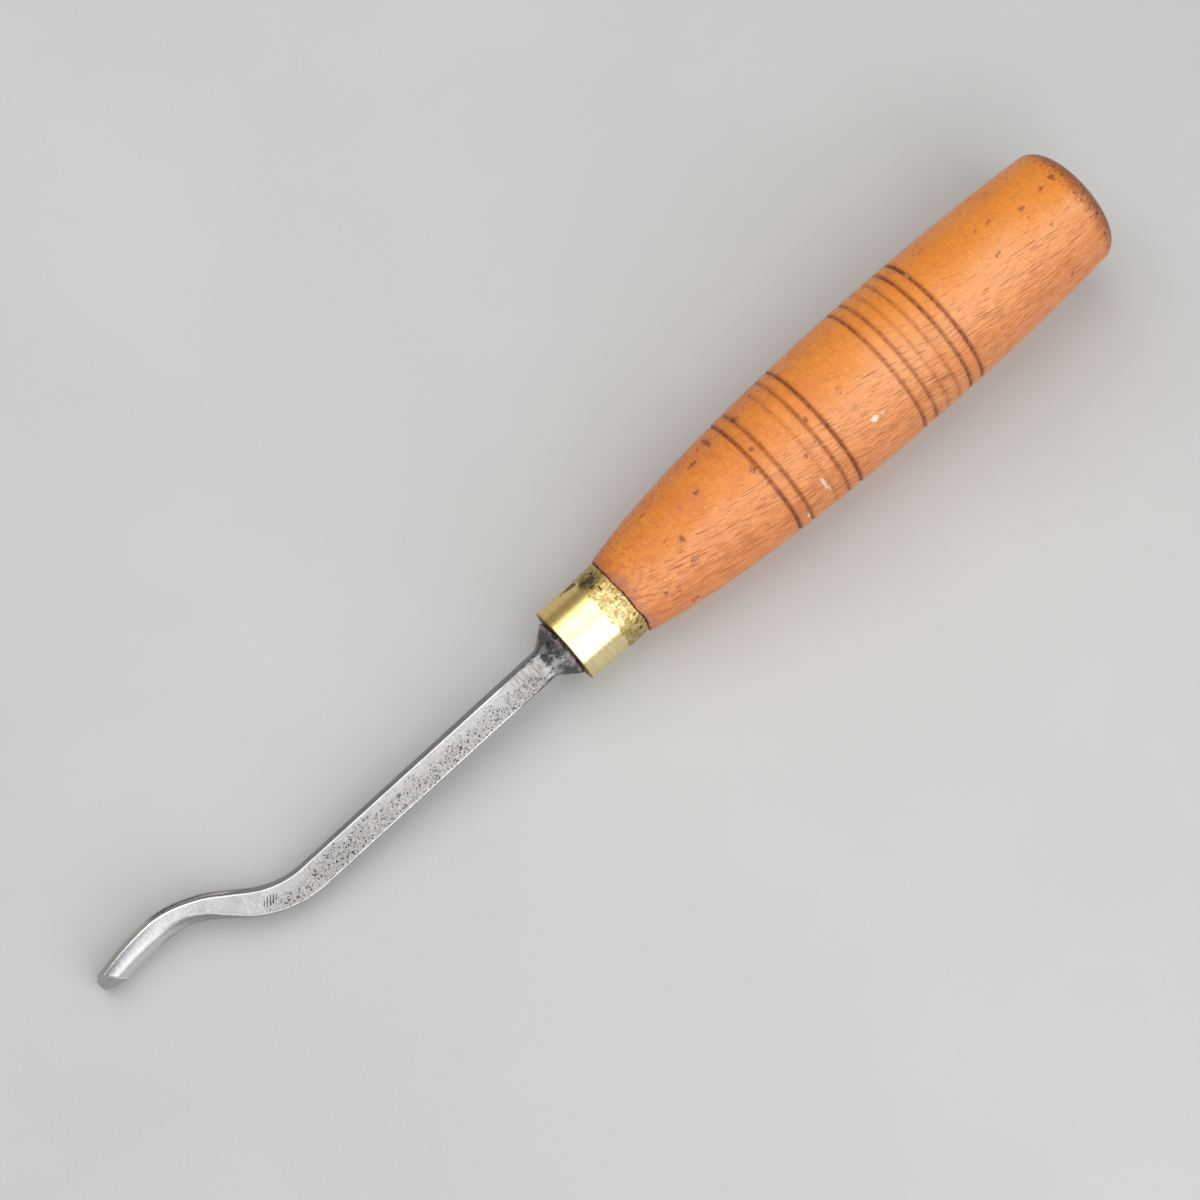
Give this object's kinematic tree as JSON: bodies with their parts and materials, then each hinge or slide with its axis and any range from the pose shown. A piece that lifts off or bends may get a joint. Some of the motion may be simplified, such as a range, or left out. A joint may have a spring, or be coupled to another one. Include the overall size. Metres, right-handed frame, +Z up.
{
  "type": "carving gouge",
  "caption": "Back bent wood-carving gouge: fluted and bevelled steel end on an S-bent square shank, flared bolster, brass ferrule, and a turned beech handle with ring grooves.",
  "frame": {"origin": "on the bench, under the middle of the whole tool as it lies at rest", "axes": "+X along the tool toward the butt of the handle, +Y to the side that the blade bends to, +Z up from the bench"},
  "size_m": [0.2374, 0.0284, 0.0323],
  "materials": {
    "blade_steel": "ground bright on the flats with fine dark pits, black forge scale on the bolster",
    "ferrule_brass": "turned bright at the front, tarnished and mottled toward the wood",
    "handle_beech": "worn orange-brown varnish with dark flecks, bruises and dark grooves"
  },
  "bodies": {
    "root": {"blade": "blade_steel", "ferrule": "ferrule_brass", "handle": "handle_beech"}
  },
  "joints": []
}
